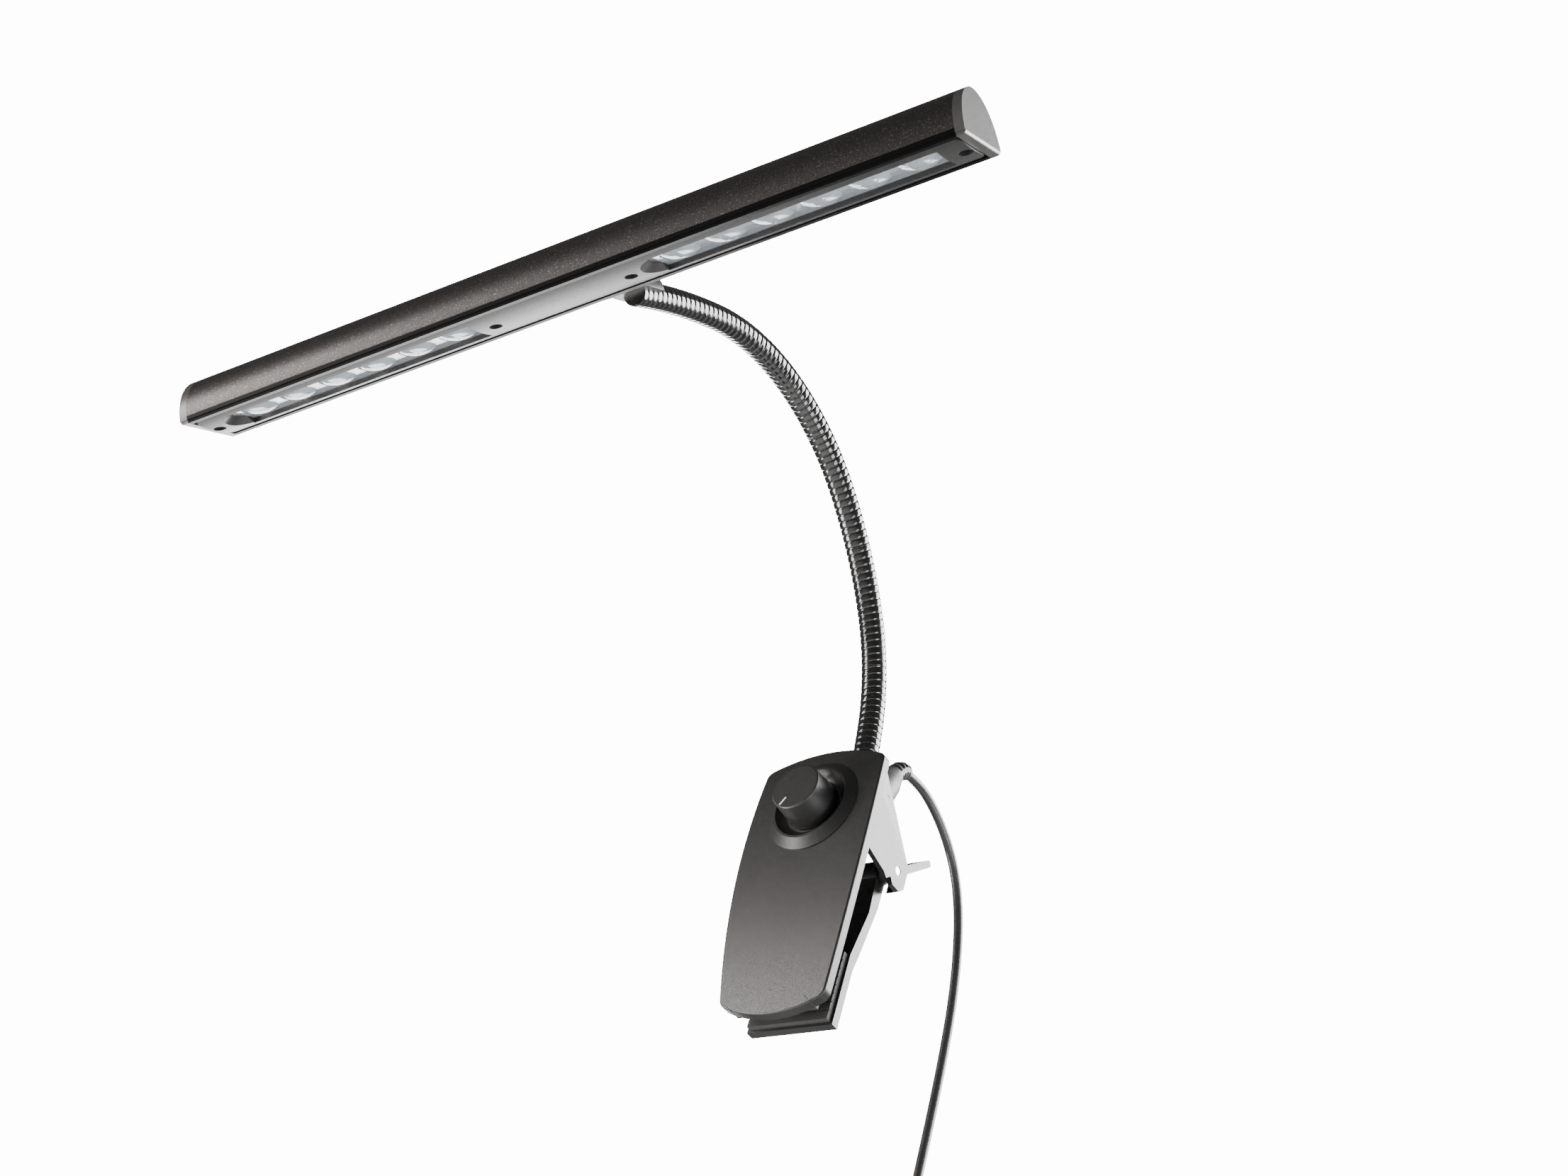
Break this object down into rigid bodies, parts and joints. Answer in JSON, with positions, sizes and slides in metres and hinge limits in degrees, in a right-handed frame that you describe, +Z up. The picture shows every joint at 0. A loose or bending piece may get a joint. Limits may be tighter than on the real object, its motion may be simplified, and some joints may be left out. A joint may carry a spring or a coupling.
{
  "type": "clip-on led desk light",
  "caption": "Clip-on light with a long LED head on a flexible gooseneck, a spring clip with a dimmer knob and a low-voltage cord with its power supply.",
  "frame": {"origin": "centre of the front jaw pad's gripping face", "axes": "+X along the gripped panel's edge and the head's length, +Y through the panel towards its back, +Z up the panel"},
  "size_m": [0.2837, 0.3054, 0.3524],
  "materials": {
    "clip_plastic": "fine grained black",
    "knob_plastic": "satin black",
    "white_mark": "printed line",
    "steel": "plated",
    "black_screw": "blackened",
    "board": "circuit board",
    "pad_rubber": "matte",
    "boot_rubber": "matte grey black",
    "neck_coat": "glossy black",
    "shade_coat": "black anodised, fine sparkle",
    "cap_plastic": "satin black",
    "bar_metal": "plain",
    "lens_clear": "clear moulded plastic",
    "led_yellow": "light emitting chips",
    "cord_skin": "smooth satin black",
    "tie_plastic": "black strap",
    "supply_plastic": "fine grained black",
    "pin_plate": "plated"
  },
  "bodies": {
    "clip": {"front_cover": "clip_plastic", "clip_back": "clip_plastic", "clip_screws": "steel", "knob_bezel": "clip_plastic", "potentiometer": "steel", "pot_nut": "steel", "dimmer_board": "board", "front_pad": "pad_rubber", "hinge_pin": "steel", "torsion_spring": "steel", "neck_socket": "neck_coat", "neck_link_1": "neck_coat", "cable_boot": "boot_rubber", "power_cord": "cord_skin", "cord_coil": "cord_skin", "cord_ties": "tie_plastic", "cord_tail": "cord_skin", "plug_boot": "boot_rubber", "power_supply": "supply_plastic", "supply_pins": "pin_plate"},
    "knob": {"dimmer_knob": "knob_plastic", "knob_mark": "white_mark", "pot_shaft": "steel"},
    "jaw": {"jaw_lever": "clip_plastic", "rear_pad": "pad_rubber"},
    "neck_b": {"neck_link_2": "neck_coat"},
    "neck_c": {"neck_link_3": "neck_coat"},
    "neck_d": {"neck_link_4": "neck_coat"},
    "neck_e": {"neck_link_5": "neck_coat"},
    "head": {"neck_link_6": "neck_coat", "head_bracket": "cap_plastic", "bracket_screws": "black_screw", "lamp_housing": "shade_coat", "end_cap_left": "cap_plastic", "end_cap_right": "cap_plastic", "bottom_cover": "cap_plastic", "cover_screws": "black_screw", "light_bar": "bar_metal", "lens_strip_left": "lens_clear", "lens_strip_right": "lens_clear", "led_board_left": "board", "led_board_right": "board", "leds_left": "led_yellow", "leds_right": "led_yellow"}
  },
  "joints": [
    {"name": "knob_turn", "type": "hinge", "parent": "clip", "child": "knob", "pos_m": [0, -0.011, 0.0587], "axis": [0, 1, 0], "range_deg": [0, 295]},
    {"name": "jaw_open", "type": "hinge", "parent": "clip", "child": "jaw", "pos_m": [0, 0.012, 0.046], "axis": [1, 0, 0], "range_deg": [0, 28], "stiffness_Nm_per_rad": 0.8, "springref_deg": -20.05, "deforming": ["torsion_spring"]},
    {"name": "neck_bend_1", "type": "hinge", "parent": "clip", "child": "neck_b", "pos_m": [0.004, 0.00106, 0.09972], "axis": [1, 0, 0], "range_deg": [-30, 30]},
    {"name": "neck_side_1", "type": "hinge", "parent": "neck_b", "child": "neck_c", "pos_m": [0.004, -0.01588, 0.13759], "axis": [0, 0.7859, 0.6184], "range_deg": [-25, 25]},
    {"name": "neck_bend_2", "type": "hinge", "parent": "neck_c", "child": "neck_d", "pos_m": [0.004, -0.04673, 0.16566], "axis": [1, 0, 0], "range_deg": [-30, 30]},
    {"name": "neck_side_2", "type": "hinge", "parent": "neck_d", "child": "neck_e", "pos_m": [0.004, -0.08614, 0.17846], "axis": [0, 0.0558, 0.9984], "range_deg": [-25, 25]},
    {"name": "neck_bend_3", "type": "hinge", "parent": "neck_e", "child": "head", "pos_m": [0.004, -0.12639, 0.16906], "axis": [1, 0, 0], "range_deg": [-35, 35]}
  ]
}
